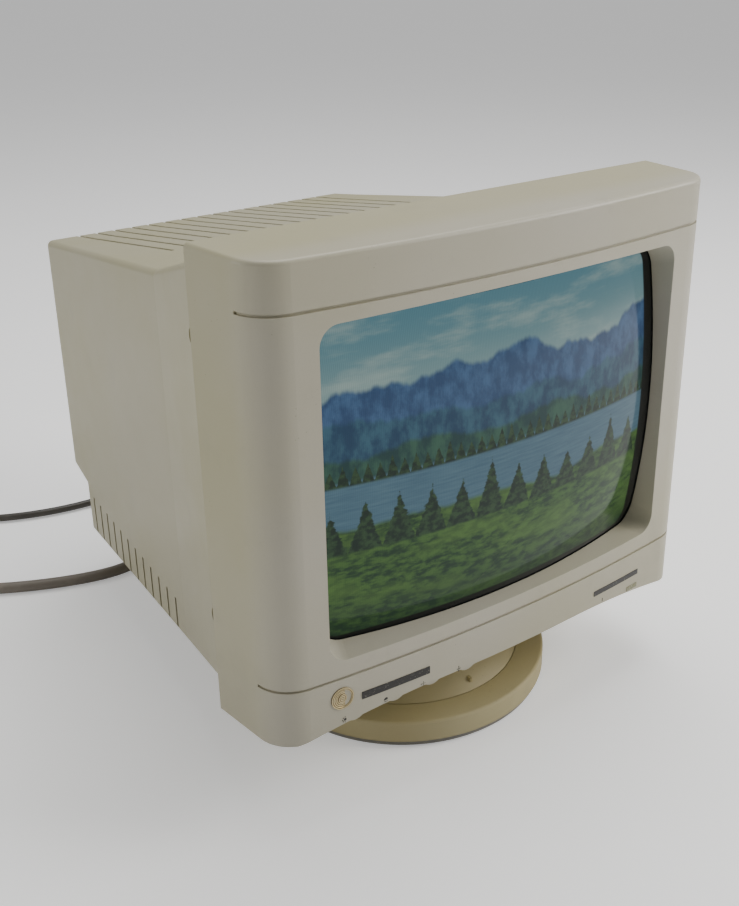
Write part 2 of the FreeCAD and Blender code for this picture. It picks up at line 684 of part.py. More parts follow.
def flyback_transformer():
    """Potted high-voltage transformer with its ferrite core and bored knob bosses."""
    body = block((-125, -83), (165, 208), (BOARD_TOP, 152))
    tower = rod(13, (-104, 186, 150), (-104, 186, 160))
    core = block((-122, -86), (154, 165), (BOARD_TOP + 8, 140))
    well = rod(4.0, (-104, 186, 152), (-104, 186, 161))
    bores = [rod(SHAFT_RADIUS + SHAFT_CLEARANCE, (x, 196, 118), (x, 209, 118)) for x in (-114, -94)]
    return body.fuse([tower, core]).cut([well, *bores])


def adjuster_knob(x):
    """Slotted knob of one flyback adjuster."""
    shaft = rod(SHAFT_RADIUS, (x, 197, 118), (x, 209, 118))
    cap = knurled(7.0, 24, x, 118, 208.5, 218)
    return shaft.fuse(cap).cut(block((x - 4, x + 4), (217, 219), (117.4, 118.6)))


def heat_sinks():
    """Two finned aluminium plates."""
    sinks = []
    for x, y in ((58, 60), (-62, 196)):
        plate = block((x, x + 3), (y - 30, y + 30), (BOARD_TOP, 133))
        fins = [block((x - 9, x + 12), (y - 28 + 11 * k, y - 26 + 11 * k), (96, 133)) for k in range(6)]
        sinks.append(plate.fuse(fins))
    return sinks


def capacitors():
    """Electrolytic cans, the mains reservoir being the largest."""
    sizes = ((98, 208, 15, 45), (20, 214, 8, 25), (0, 214, 8, 25), (-20, 214, 6, 20), (100, 46, 6, 20),
             (86, 60, 6, 20), (-96, 60, 8, 30), (-96, 84, 8, 30), (40, 190, 5, 16), (56, 190, 5, 16))
    return [rod(radius, (x, y, BOARD_TOP), (x, y, BOARD_TOP + height)) for x, y, radius, height in sizes]


def switching_transformer():
    """Ferrite core with its wound bobbin."""
    core = block((80, 122), (118, 150), (BOARD_TOP + 4, 128)).cut(
        [block((88, 96), (117, 151), (94, 120)), block((106, 114), (117, 151), (94, 120))])
    winding = block((88.2, 113.8), (112, 156), (94.2, 119.8)).cut(block((96, 106), (111, 157), (90, 125)))
    foot = block((84, 118), (112, 156), (BOARD_TOP, BOARD_TOP + 4))
    return core.fuse([winding, foot])


# ---- controls ----
def knurled(radius, teeth, x, z, y_start, y_end):
    """Disc along Y with shallow teeth round its rim."""
    points = []
    for index in range(2 * teeth):
        angle = math.pi * index / teeth
        reach = radius if index % 2 else radius - 0.5
        points.append((x + reach * math.cos(angle), y_start, z + reach * math.sin(angle)))
    return polygon_face(points).extrude(Vector(0, y_end - y_start, 0))


def wheel_centre_z(x):
    return lip_z(x) - WHEEL_SHOWS + WHEEL_RADIUS


def wheel_front_y(x):
    return face_y(abs(x) + WHEEL_RADIUS) + WALL + BEHIND_WALL


def thumbwheel(x):
    """Knurled wheel on a short shaft."""
    z, front = wheel_centre_z(x), wheel_front_y(x)
    back = front + WHEEL_THICKNESS
    wheel = knurled(WHEEL_RADIUS, WHEEL_TEETH, x, z, front, back)
    return wheel.fuse(rod(SHAFT_RADIUS, (x, back, z), (x, back + 8, z)))


def control_board():
    """Board over the controls and the four potentiometers under it."""
    board = block((-150, -18), (-112.4, -80), (FLOOR_TOP, FLOOR_TOP + BOARD_THICKNESS))
    parts = [board]
    for x in WHEEL_X:
        z, start = wheel_centre_z(x), wheel_front_y(x) + WHEEL_THICKNESS + 1
        body = block((x - 5, x + 5), (start, start + 9), (z - 4.4, FLOOR_TOP))
        parts.append(body.cut(rod(SHAFT_RADIUS + SHAFT_CLEARANCE, (x, start - 1, z), (x, start + 8, z))))
    return parts


def power_button():
    """Wide bar under the lip with a stem up to the switch."""
    low = lip_z(BUTTON_X) - BUTTON_SHOWS
    left, right = BUTTON_X - BUTTON_HALF, BUTTON_X + BUTTON_HALF
    front = face_y(right) + WALL + BEHIND_WALL
    bar = block((left, right), (front, -115.2), (low, low + 7))
    bar = bar.makeFillet(1.2, [e for e in bar.Edges if abs(e.BoundBox.ZMax - low) < 0.01])
    stem = block((BUTTON_X - 6, BUTTON_X + 6), (front, -115.2), (low + 6, 98.6))
    return bar.fuse(stem)


def power_switch():
    """Push switch standing over the button's stem."""
    top = 98.7 + BUTTON_TRAVEL
    body = block((BUTTON_X - 9, BUTTON_X + 9), (-121, -106), (top, top + 8))
    legs = [block((x, x + 1.6), (-121, -106), (FLOOR_TOP, top)) for x in (BUTTON_X - 9, BUTTON_X + 7.4)]
    return body.fuse(legs)


# ---- connectors and cables ----
def power_inlet():
    """Three-pin mains inlet in the lower rear face."""
    rear = CABINET_STEP[0]
    body = block((INLET_X - 14, INLET_X + 14), (232, rear), (CONNECTOR_Z - 10, CONNECTOR_Z + 10))
    flange = block((INLET_X - 20, INLET_X + 20), (rear, rear + 2), (CONNECTOR_Z - 14, CONNECTOR_Z + 14))
    recess = block((INLET_X - 12.2, INLET_X + 12.2), (242, rear + 3), (CONNECTOR_Z - 8.2, CONNECTOR_Z + 8.2))
    pins = [block((x - 1, x + 1), (241, 256), (z - 2, z + 2)) for x, z in inlet_pins()]
    return body.fuse(flange).cut(recess).fuse(pins)


def inlet_pins():
    return ((INLET_X - 7, CONNECTOR_Z - 2), (INLET_X + 7, CONNECTOR_Z - 2), (INLET_X, CONNECTOR_Z + 2))


def cord_connector():
    """Moulded socket end of the mains cord, pushed into the inlet."""
    nose = block((INLET_X - 12, INLET_X + 12), (243, 262), (CONNECTOR_Z - 8, CONNECTOR_Z + 8))
    wires = []
    for y, half_x, half_z in ((260.2, 14.5, 10), (282, 13, 9.5), (296, 6, 6)):
        wires.append(rounded_wire(y, half_x, CONNECTOR_Z - half_z, CONNECTOR_Z + half_z, 4))
    grip = Part.makeLoft(wires, True, True)
    grip.translate(Vector(INLET_X, 0, 0))
    slots = [block((x - 1.3, x + 1.3), (242, 258), (z - 2.3, z + 2.3)) for x, z in inlet_pins()]
    return nose.fuse(grip).cut([*slots, power_cord()])


def cable_grommet():
    """Ribbed strain relief of the signal cable."""
    profile = [(250, 0), (250, 9), (254.8, 9), (254.8, 6.8), (258.2, 6.8), (258.2, 10),
               (261, 10)]
    for index in range(5):
        start = 261 + 5 * index
        profile += [(start, 8.4 - 0.4 * index), (start + 3, 8.2 - 0.4 * index),
                    (start + 3, 6.6), (start + 5, 6.6)]
    profile.append((286, 0))
    return turned_y(profile, SIGNAL_X, CONNECTOR_Z).cut(signal_cable())


def signal_cable():
    """Screened cable from the grommet, under the cabinet's rear corner, to the plug."""
    desk = SIGNAL_RADIUS + 0.6
    points = ((SIGNAL_X, 240, CONNECTOR_Z), (SIGNAL_X, 264, CONNECTOR_Z), (SIGNAL_X, 288, CONNECTOR_Z),
              (-52, 309, 50), (-60, 303, 16), (-84, 277, desk), (-117, 259, desk), (-170, 266, desk),
              (-227, 292, desk), (-276, 330, desk), (-299, 375, 7), (PLUG_X, 400, PLUG_Z),
              (PLUG_X, PLUG_Y, PLUG_Z))
    return swept(points, SIGNAL_RADIUS)


def power_cord():
    desk = CORD_RADIUS + 1.2
    points = ((INLET_X, 290.5, CONNECTOR_Z), (INLET_X, 304, CONNECTOR_Z), (INLET_X, 332, 48),
              (66, 356, 12), (52, 378, desk), (10, 398, desk), (-93, 401, desk), (-181, 424, desk),
              (-224, 462, 7), (MAINS_X, 500, MAINS_Z), (MAINS_X, MAINS_Y, MAINS_Z))
    return swept(points, CORD_RADIUS)


def signal_plug():
    """Moulded hood of the signal plug."""
    hood = block((PLUG_X - 16.5, PLUG_X + 16.5), (PLUG_Y + 12, PLUG_Y + 44), (PLUG_Z - 8, PLUG_Z + 8))
    hood = hood.makeFillet(3, [e for e in hood.Edges if abs(e.tangentAt(e.FirstParameter).y) > 0.9])
    tail = turned_y(((PLUG_Y - 14, 6.4), (PLUG_Y + 13, 7.8), (PLUG_Y + 13, 0), (PLUG_Y - 14, 0)), PLUG_X, PLUG_Z)
    screws = [rod(2.0, (x, PLUG_Y + 10, PLUG_Z), (x, PLUG_Y + 50, PLUG_Z)) for x in thumbscrew_places()]
    return hood.fuse(tail).cut([signal_cable(), *screws])


def thumbscrew_places():
    return (PLUG_X - THUMBSCREW_SPACING / 2, PLUG_X + THUMBSCREW_SPACING / 2)


def signal_pins():
    """Metal shell of the plug with its fifteen contacts."""
    front = PLUG_Y + 44
    plate = block((PLUG_X - 15.6, PLUG_X + 15.6), (front, front + 0.8), (PLUG_Z - 6, PLUG_Z + 6))
    plate = plate.cut([rod(2.0, (x, front - 1, PLUG_Z), (x, front + 2, PLUG_Z)) for x in thumbscrew_places()])
    outline = [(PLUG_X + x, front + 0.8, PLUG_Z + z) for x, z in ((-8.2, 4.1), (8.2, 4.1), (6.9, -4.1), (-6.9, -4.1))]
    hollow = [(PLUG_X + x, front + 1.8, PLUG_Z + z) for x, z in ((-7.6, 3.6), (7.6, 3.6), (6.4, -3.6), (-6.4, -3.6))]
    shell = polygon_face(outline).extrude(Vector(0, 5.8, 0)).cut(polygon_face(hollow).extrude(Vector(0, 6, 0)))
    pins = []
    for row, (count, z) in enumerate(((5, 2.0), (5, 0.0), (5, -2.0))):
        for column in range(count):
            x = PLUG_X + (column - 2) * 2.3 + (row - 1) * 0.4
            pins.append(rod(0.38, (x, front + 1.5, PLUG_Z + z), (x, front + 6, PLUG_Z + z)))
    return plate.fuse([shell, *pins])


def thumbscrew(x):
    """Captive screw of the plug: knurled head, shank and thread stud."""
    head = knurled(4.2, 18, x, PLUG_Z, PLUG_Y + 2, PLUG_Y + 11.8)
    shank = rod(1.95, (x, PLUG_Y + 11.8, PLUG_Z), (x, PLUG_Y + 44.8, PLUG_Z))
    stud = rod(1.42, (x, PLUG_Y + 44.8, PLUG_Z), (x, PLUG_Y + 50, PLUG_Z))
    return head.fuse([shank, stud])


def mains_plug():
    """Moulded body of the three-pin plug."""
    wires = []
    for y, half_x, half_z, radius in ((-14, 5, 5, 4.9), (4, 7, 7, 5), (12, 13, 13, 6), (40, 14, 13.5, 6)):
        wires.append(rounded_wire(MAINS_Y + y, half_x, MAINS_Z - half_z, MAINS_Z + half_z, radius))
    body = Part.makeLoft(wires, True, True)
    body.translate(Vector(MAINS_X, 0, 0))
    return body.cut([power_cord(), *mains_pin_holes()])


def mains_pin_holes():
    """Room in the plug's body for the roots of its pins."""
    return [pin.common(block((-400, 0), (MAINS_Y + 30, MAINS_Y + 40), (-5, 60))) for pin in mains_pins()]


def mains_pins():
    """Two flat blades and the round earth pin with its thinner root."""
    start, end = MAINS_Y + 30, MAINS_Y + 57.5
    blades = [
        block((x - 0.75, x + 0.75), (start, end), (MAINS_Z - 0.5, MAINS_Z + 5.85))
        for x in (MAINS_X - 6.35, MAINS_X + 6.35)
    ]
    z, shoulder = MAINS_Z - 9, MAINS_Y + 40.5
    root = rod(1.9, (MAINS_X, start, z), (MAINS_X, shoulder, z))
    return [*blades, root.fuse(rod(2.38, (MAINS_X, shoulder, z), (MAINS_X, MAINS_Y + 61, z)))]


# ---- tilt foot, turntable and base ----
def tilt_drum(radius, half_x):
    """Cylinder about the tilt axis."""
    return rod(radius, (-half_x, 0, TILT_Z), (half_x, 0, TILT_Z))


def tilt_foot():
    """Hollow rocker under the belly, with a slot for the bolt and four screw ears."""
    depth = ROCKER_HALF_DEPTH
    room = block((-ROCKER_HALF, ROCKER_HALF), (-depth, depth), (30, 95))
    body = room.common(tilt_drum(ROCKER_RADIUS, 100))
    cell_walls = ((-ROCKER_HALF, -32), (-32, 32), (32, ROCKER_HALF))
    cells = [
        block((left + 1.5, right - 1.5), (-depth + WALL, depth - WALL), (30, 95))
        for left, right in cell_walls
    ]
    hollow = Part.makeCompound(cells).common(tilt_drum(ROCKER_RADIUS - WALL, 100))
    slot = block((-3.6, 3.6), (-13, 23), (40, 55))
    ears = []
    for x, y in rocker_screws():
        side = math.copysign(1, x)
        x_range = tuple(sorted((side * (ROCKER_HALF - 1), x + side * 8)))
        outline = [(x_range[0], y + dy, belly_z(y + dy) + dz) for dy, dz in ((-9, -5), (9, -5), (9, 3), (-9, 3))]
        ear = polygon_face(outline).extrude(Vector(x_range[1] - x_range[0], 0, 0))
        spot_face = rod(3.6, (x, y, 40), (x, y, belly_z(y) - 5))
        ears.append(ear.cut([rod(1.7, (x, y, 40), (x, y, 100)), spot_face]))
    return body.cut([hollow, slot]).fuse(ears).cut(cabinet_form(-SEAT_GAP))


def tilt_bolt():
    """Bolt through the slot, with a washer over the rocker and a hex head below."""
    shank = rod(3.0, (0, 0, 38), (0, 0, 60))
    head = rod(7.0, (0, 0, 36), (0, 0, 41.2))
    nut = rod(7.0, (0, 0, 56.2), (0, 0, 60))
    washer = rod(8.0, (0, 0, 48.7), (0, 0, 50))
    return shank.fuse([head, nut, washer])


def tilt_spring():
    """Disc springs between the washer and the nut."""
    discs = []
    for index in range(3):
        z = 50.05 + 2.05 * index
        discs.append(turned_z(((3.2, z + 0.9), (7.4, z), (7.4, z + 0.9), (3.2, z + 1.8))))
    return discs


def turntable_dome():
    """Domed turntable with a cradle for the rocker and a hub in the base."""
    rise = DOME_TOP - 23.0
    sphere_radius = (DOME_RADIUS ** 2 + rise ** 2) / (2 * rise)
    ball = Part.makeSphere(sphere_radius, Vector(0, 0, DOME_TOP - sphere_radius))
    outside = ball.common(rod(DOME_RADIUS, (0, 0, 12.3), (0, 0, DOME_TOP + 1)))
    inner_ball = Part.makeSphere(sphere_radius - WALL, Vector(0, 0, DOME_TOP - sphere_radius))
    hollow = inner_ball.common(rod(DOME_RADIUS - WALL, (0, 0, 11), (0, 0, 41.3)))
    hub = rod(HUB_RADIUS, (0, 0, 7.3), (0, 0, 42)).cut(rod(14, (0, 0, 7), (0, 0, 41.3)))
    ribs = [block((-DOME_RADIUS + 4, DOME_RADIUS - 4), (-1, 1), (14, 30))]
    ribs.append(block((-1, 1), (-DOME_RADIUS + 4, DOME_RADIUS - 4), (14, 30)))
    ribs = [rib.cut(rod(HUB_RADIUS - 1, (0, 0, 10), (0, 0, 42))) for rib in ribs]
    cradle = tilt_drum(ROCKER_RADIUS + ROCKER_GAP, 100)
    bolt_hole = rod(3.1, (0, 0, 35), (0, 0, 60))
    return outside.cut(hollow).fuse([hub, *ribs]).cut([cradle, bolt_hole])


def swivel_retainer():
    """Disc on the hub's end that holds the turntable down."""
    return turned_z(((0, 5.2), (0, 7.2), (27, 7.2), (27, 5.2)))


def base_housing():
    """Round base: outer rim, flat shoulder and floor with the swivel bore."""
    bore = HUB_RADIUS + SHAFT_CLEARANCE
    shoulder = RECESS_RADIUS + WALL
    rim = BASE_RADIUS
    return turned_z((
        (rim, 7.0), (rim, 21.0), (rim - 0.5, 22.2), (rim - 1.7, BASE_TOP), (RECESS_RADIUS, BASE_TOP),
        (RECESS_RADIUS, 12), (bore, 12), (bore, 9), (shoulder, 9), (shoulder, 19.7), (rim - WALL, 19.7),
        (rim - WALL, FOOT_TOP), (rim - 1.4, FOOT_TOP), (rim - 0.4, 5.7)))


def foot_places():
    """One foot under the hub and six round the edge."""
    ring = [(92 * math.cos(k * math.pi / 3), 92 * math.sin(k * math.pi / 3)) for k in range(6)]
    return [(0, 0), *ring]


def foot_plate():
    """Grey plate that closes the base from below, with pockets for the feet."""
    plate = turned_z(((0, 0.6), (0, FOOT_TOP), (109.6, FOOT_TOP), (109.6, 1.6), (108.6, 0.6)))
    return plate.cut([rod(9.1, (x, y, 0), (x, y, 2.6)) for x, y in foot_places()])


def rubber_feet():
    return [rod(9.0, (x, y, 0), (x, y, 2.6)) for x, y in foot_places()]


# ---- write every piece ----
def single_pieces():
    """Name and shape of each piece that is one solid."""
    return {
        "base_housing": base_housing(), "foot_plate": foot_plate(), "turntable_dome": turntable_dome(),
        "swivel_retainer": swivel_retainer(), "tilt_bolt": tilt_bolt(), "tilt_foot": tilt_foot(),
        "front_bezel": front_bezel(), "rear_cabinet": rear_cabinet(), "badge_roundel": badge_roundel(),
        "indicator_lens": indicator_lens(), "crt_panel": crt_panel(), "crt_funnel": crt_funnel(),
        "phosphor_screen": phosphor_screen(), "shadow_mask": shadow_mask(), "mask_frame": mask_frame(),
        "inner_shield": inner_shield(), "electron_gun": electron_gun(), "crt_pin_base": crt_pin_base(),
        "rim_band": rim_band(), "degaussing_coil": degaussing_coil(), "anode_cap": anode_cap(),
        "anode_lead": anode_lead(), "earth_braid": earth_braid(), "yoke_former": yoke_former(),
        "yoke_clamp": yoke_clamp(), "tube_socket": tube_socket(),
        "flyback_transformer": flyback_transformer(), "focus_knob": adjuster_knob(-114),
        "screen_knob": adjuster_knob(-94), "switching_transformer": switching_transformer(),
        "power_button": power_button(), "power_switch": power_switch(), "power_inlet": power_inlet(),
        "cord_connector": cord_connector(), "cable_grommet": cable_grommet(),
        "signal_cable": signal_cable(), "power_cord": power_cord(), "signal_plug": signal_plug(),
        "signal_pins": signal_pins(), "mains_plug": mains_plug(),
    }


def grouped_pieces():
    """Name and solids of each group of loose pieces."""
    return {
        "rubber_feet": rubber_feet(), "tilt_spring": tilt_spring(), "badge_bars": badge_bars(),
        "cabinet_screws": cabinet_screws(), "tube_screws": tube_screws(), "yoke_coils": yoke_coils(),
        "yoke_core": yoke_core(), "convergence_rings": convergence_rings(), "neck_board": neck_board(),
        "main_board": main_board(), "heat_sinks": heat_sinks(), "capacitors": capacitors(),
        "control_board": control_board(), "mains_pins": mains_pins(),
    }


def main():
    os.makedirs("parts", exist_ok=True)
    for name, shape in single_pieces().items():
        save(name, shape)
    for name, solids in grouped_pieces().items():
        save(name, *solids)
    for number, x in enumerate(WHEEL_X, start=1):
        save(f"thumbwheel_{number}", thumbwheel(x))
    for side, x in zip(("left", "right"), thumbscrew_places()):
        save(f"thumbscrew_{side}", thumbscrew(x))


main()
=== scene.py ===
"""Looks of the desktop tube monitor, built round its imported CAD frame. Metres, Z up, screen towards -Y."""
import json
import math

import bmesh
import bpy
from mathutils import Matrix, Vector


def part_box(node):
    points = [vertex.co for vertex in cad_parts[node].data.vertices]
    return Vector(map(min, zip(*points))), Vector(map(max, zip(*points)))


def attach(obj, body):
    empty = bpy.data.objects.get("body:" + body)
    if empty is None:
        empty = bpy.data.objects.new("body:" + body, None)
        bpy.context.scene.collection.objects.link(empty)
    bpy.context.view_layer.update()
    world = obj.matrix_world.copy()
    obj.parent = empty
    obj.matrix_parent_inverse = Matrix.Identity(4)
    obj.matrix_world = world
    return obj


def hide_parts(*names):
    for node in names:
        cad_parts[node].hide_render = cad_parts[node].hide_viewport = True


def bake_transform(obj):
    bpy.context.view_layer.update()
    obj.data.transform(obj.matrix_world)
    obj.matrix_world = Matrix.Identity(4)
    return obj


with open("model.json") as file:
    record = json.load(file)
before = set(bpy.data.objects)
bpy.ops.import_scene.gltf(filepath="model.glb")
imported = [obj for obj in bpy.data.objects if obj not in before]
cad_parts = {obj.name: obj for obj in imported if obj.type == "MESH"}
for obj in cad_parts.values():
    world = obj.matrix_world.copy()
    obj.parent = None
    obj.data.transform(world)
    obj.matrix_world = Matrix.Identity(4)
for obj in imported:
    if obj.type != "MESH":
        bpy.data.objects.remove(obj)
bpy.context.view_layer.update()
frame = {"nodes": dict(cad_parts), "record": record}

FRONT_LOW, FRONT_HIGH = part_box("front_bezel")

# The lit picture, off-centre on the glass as in a monitor that needs adjusting
SCREEN_LOW, SCREEN_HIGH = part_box("phosphor_screen")
SCREEN_CENTRE = (SCREEN_LOW + SCREEN_HIGH) / 2
PICTURE_LEFT, PICTURE_RIGHT = SCREEN_CENTRE.x - 0.139, SCREEN_CENTRE.x + 0.130
PICTURE_LOW, PICTURE_HIGH = SCREEN_CENTRE.z - 0.104, SCREEN_CENTRE.z + 0.107
PICTURE_CORNER = 0.012
PICTURE_EDGE = 0.0008                       # width over which the picture fades out
PICTURE_GLOW = 0.62
PHOSPHOR_PITCH = 0.0012
SHORELINE = 0.5275                          # height of the far shore, as a share of the picture

# Printed signs beside the controls
SIGN_SCALE = 0.00125                        # metres for one unit of a sign's outline
SIGN_LIFT = 0.00012
SIGN_DEPTH = 0.0004

# Moulded edge radii of the housing
EDGE_RADII = (("front_bezel", 0.0012), ("rear_cabinet", 0.0008), ("power_button", 0.0003))
SHARP_ANGLE = 38.0

# Stage and camera
FLOOR_HALF = 60.0
FLOOR_GLOW = 0.35                           # makes the floor paler to the camera, not to the light
WORLD_LIGHT = 0.26
WORLD_SEEN = 1.0
CAMERA_PLACE = (-0.4672, -0.6288, 0.5472)
CAMERA_YAW, CAMERA_PITCH, CAMERA_ROLL = 0.62277, 0.40616, -0.01308
CAMERA_LENS = 46.16
CAMERA_SHIFT = (-0.0144, -0.0389)


# ---- shader building ----
class Shader:
    """One procedural material; its methods return sockets that feed each other."""

    def __init__(self, name):
        self.material = bpy.data.materials.new(name)
        self.material.use_nodes = True
        self.tree = self.material.node_tree
        self.surface = self.tree.nodes["Principled BSDF"]
        self.place = self.tree.nodes.new("ShaderNodeTexCoord").outputs["Object"]
        split = self.tree.nodes.new("ShaderNodeSeparateXYZ")
        self.tree.links.new(self.place, split.inputs[0])
        self.x, self.y, self.z = split.outputs

    def feed(self, socket, value):
        """Link a socket, or set a plain number or colour."""
        if isinstance(value, bpy.types.NodeSocket):
            self.tree.links.new(value, socket)
        elif isinstance(value, tuple) and len(value) == 3 and socket.type == "RGBA":
            socket.default_value = (*value, 1.0)
        else:
            socket.default_value = value

    def math(self, operation, a, b=0.0, clamp=False):
        node = self.tree.nodes.new("ShaderNodeMath")
        node.operation = operation
        node.use_clamp = clamp
        self.feed(node.inputs[0], a)
        self.feed(node.inputs[1], b)
        return node.outputs[0]

    def add(self, a, b):
        return self.math("ADD", a, b)

    def sub(self, a, b):
        return self.math("SUBTRACT", a, b)

    def mul(self, a, b):
        return self.math("MULTIPLY", a, b)

    def step(self, value, low, high):
        """0 below low, 1 above high, smooth between; low above high turns it round."""
        node = self.tree.nodes.new("ShaderNodeMapRange")
        node.interpolation_type = "SMOOTHSTEP"
        if low > high:
            low, high = high, low
            node.inputs["To Min"].default_value = 1.0
            node.inputs["To Max"].default_value = 0.0
        self.feed(node.inputs["Value"], value)
        node.inputs["From Min"].default_value = low
        node.inputs["From Max"].default_value = high
        return node.outputs["Result"]

    def mix(self, share, a, b):
        """Colour a where share is 0, colour b where it is 1."""
        node = self.tree.nodes.new("ShaderNodeMix")
        node.data_type = "RGBA"
        self.feed(node.inputs["Factor"], share)
        self.feed(node.inputs[6], a)
        self.feed(node.inputs[7], b)
        return node.outputs[2]

    def vector(self, x, y, z=0.0):
        node = self.tree.nodes.new("ShaderNodeCombineXYZ")
        for socket, value in zip(node.inputs, (x, y, z)):
            self.feed(socket, value)
        return node.outputs[0]

    def stretched(self, stretch, place=None):
        """The place, scaled differently along each axis."""
        node = self.tree.nodes.new("ShaderNodeMapping")
        self.feed(node.inputs["Vector"], place or self.place)
        node.inputs["Scale"].default_value = stretch
        return node.outputs[0]

    def noise(self, scale, detail=2.0, roughness=0.5, place=None):
        node = self.tree.nodes.new("ShaderNodeTexNoise")
        self.feed(node.inputs["Vector"], place or self.place)
        node.inputs["Scale"].default_value = scale
        node.inputs["Detail"].default_value = detail
        node.inputs["Roughness"].default_value = roughness
        return node.outputs[0]

    def cells(self, scale, place=None):
        """Distance to the nearest of scattered points."""
        node = self.tree.nodes.new("ShaderNodeTexVoronoi")
        self.feed(node.inputs["Vector"], place or self.place)
        node.inputs["Scale"].default_value = scale
        return node.outputs["Distance"]

    def bump(self, height, depth, strength=1.0, under=None):
        node = self.tree.nodes.new("ShaderNodeBump")
        node.inputs["Strength"].default_value = strength
        node.inputs["Distance"].default_value = depth
        self.feed(node.inputs["Height"], height)
        if under:
            self.feed(node.inputs["Normal"], under)
        return node.outputs[0]

    def finish(self, **inputs):
        """Feed the surface's own inputs, written with underscores for spaces."""
        for name, value in inputs.items():
            self.feed(self.surface.inputs[name.replace("_", " ")], value)
        return self.material


# ---- materials ----
# shade is the dark tone: it gives the painted shade near the floor, and it tints the speckle and the smudges
def moulded_plastic(name, clean, aged, shade, roughness=0.34, grain=0.00010, ageing=1.0):
    """Old moulded plastic: uneven yellowing, fine grain, scuffs, handling marks and dust, with painted shade
    on the parts near the floor.
    """
    s = Shader(name)
    patches = s.step(s.noise(5.0, 3.0), 0.35, 0.68)
    towards_rear = s.step(s.y, -0.115, -0.085)
    yellowing = s.add(s.mul(patches, 0.45 * ageing), s.mul(towards_rear, 0.55 * ageing))
    colour = s.mix(yellowing, clean, aged)
    # Painted shade: parts near the floor are darkened a quarter of the way towards the shade colour
    painted_floor_shade = s.step(s.z, 0.16, 0.02)
    colour = s.mix(s.mul(painted_floor_shade, 0.25), colour, shade)
    speckle = s.noise(1300.0, 2.0, 0.7)
    colour = s.mix(s.mul(s.step(speckle, 0.50, 0.75), 0.10), colour, shade)
    smudges = s.step(s.noise(24.0, 6.0, 0.65), 0.56, 0.74)
    colour = s.mix(s.mul(smudges, 0.16), colour, shade)
    streaks = s.noise(1.0, 3.0, 0.6, s.stretched((260.0, 260.0, 26.0)))
    scratches = s.mul(s.step(streaks, 0.70, 0.78), s.step(s.noise(9.0), 0.48, 0.62))
    colour = s.mix(s.mul(scratches, 0.30), colour, aged)
    specks = s.mul(s.step(s.cells(230.0), 0.10, 0.05), s.step(s.noise(30.0), 0.58, 0.66))
    colour = s.mix(s.mul(specks, 0.45), colour, (0.10, 0.085, 0.05))
    gloss = s.add(roughness, s.mul(s.noise(40.0, 4.0, 0.6), 0.14))
    gloss = s.sub(gloss, s.mul(smudges, 0.05))
    texture = s.bump(s.noise(2100.0, 2.0, 0.6), grain, 0.55)
    waves = s.bump(s.noise(9.0, 1.0), 0.0006, 0.25, texture)
    return s.finish(Base_Color=colour, Roughness=gloss, Normal=waves)


def sheath(name, colour, worn):
    """Cable sheath and soft mouldings: satin, with dust and faint wrinkles."""
    s = Shader(name)
    dust = s.step(s.noise(45.0, 5.0, 0.6), 0.46, 0.72)
    tint = s.mix(s.mul(dust, 0.5), colour, worn)
    fine = s.noise(1600.0, 2.0)
    rough = s.add(0.42, s.mul(dust, 0.2))
    return s.finish(Base_Color=tint, Roughness=rough, Normal=s.bump(fine, 0.00006, 0.5))


def metal(name, colour, roughness, stretch=(30.0, 500.0, 500.0), stain=(0.25, 0.22, 0.18)):
    """Drawn or plated metal with fine lines and dull patches."""
    s = Shader(name)
    lines = s.noise(1.0, 3.0, 0.6, s.stretched(stretch))
    patches = s.step(s.noise(70.0, 4.0), 0.55, 0.75)
    tint = s.mix(s.mul(patches, 0.35), colour, stain)
    gloss = s.add(roughness, s.mul(lines, 0.2))
    return s.finish(Base_Color=tint, Metallic=1.0, Roughness=gloss, Normal=s.bump(lines, 0.00005, 0.4))


def winding(name):
    """Enamelled copper wire laid side by side."""
    s = Shader(name)
    wave = s.tree.nodes.new("ShaderNodeTexWave")
    s.feed(wave.inputs["Vector"], s.place)
    wave.inputs["Scale"].default_value = 320.0
    wave.inputs["Distortion"].default_value = 1.2
    strand = wave.outputs["Fac"]
    tint = s.mix(strand, (0.16, 0.045, 0.015), (0.62, 0.24, 0.08))
    return s.finish(Base_Color=tint, Metallic=0.6, Roughness=0.32, Normal=s.bump(strand, 0.0003, 0.8))


def wound_tape(name):
    """Overlapping turns of dark tape."""
    s = Shader(name)
    wave = s.tree.nodes.new("ShaderNodeTexWave")
    wave.bands_direction = "DIAGONAL"
    s.feed(wave.inputs["Vector"], s.place)
    wave.inputs["Scale"].default_value = 22.0
    turns = wave.outputs["Fac"]
    tint = s.mix(turns, (0.012, 0.012, 0.014), (0.05, 0.05, 0.055))
    return s.finish(Base_Color=tint, Roughness=0.6, Normal=s.bump(turns, 0.0004, 0.6))


def circuit_board(name):
    """Phenolic board with printed tracks and pads."""
    s = Shader(name)
    brick = s.tree.nodes.new("ShaderNodeTexBrick")
    s.feed(brick.inputs["Vector"], s.place)
    brick.inputs["Scale"].default_value = 60.0
    brick.inputs["Mortar Size"].default_value = 0.03
    tracks = brick.outputs["Fac"]
    fibre = s.noise(900.0, 3.0, 0.7)
    board = s.mix(fibre, (0.20, 0.12, 0.045), (0.36, 0.23, 0.09))
    tint = s.mix(tracks, board, (0.08, 0.16, 0.06))
    return s.finish(Base_Color=tint, Roughness=0.5, Normal=s.bump(tracks, 0.0001, 0.5))


def sintered(name, colour):
    """Ferrite, ceramic and graphite-coated glass: dull, with fine pits."""
    s = Shader(name)
    pits = s.cells(900.0)
    cloud = s.noise(35.0, 4.0)
    tint = s.mix(cloud, colour, tuple(min(1.0, c * 2.2 + 0.02) for c in colour))
    return s.finish(Base_Color=tint, Roughness=0.62, Normal=s.bump(pits, 0.0001, 0.5))


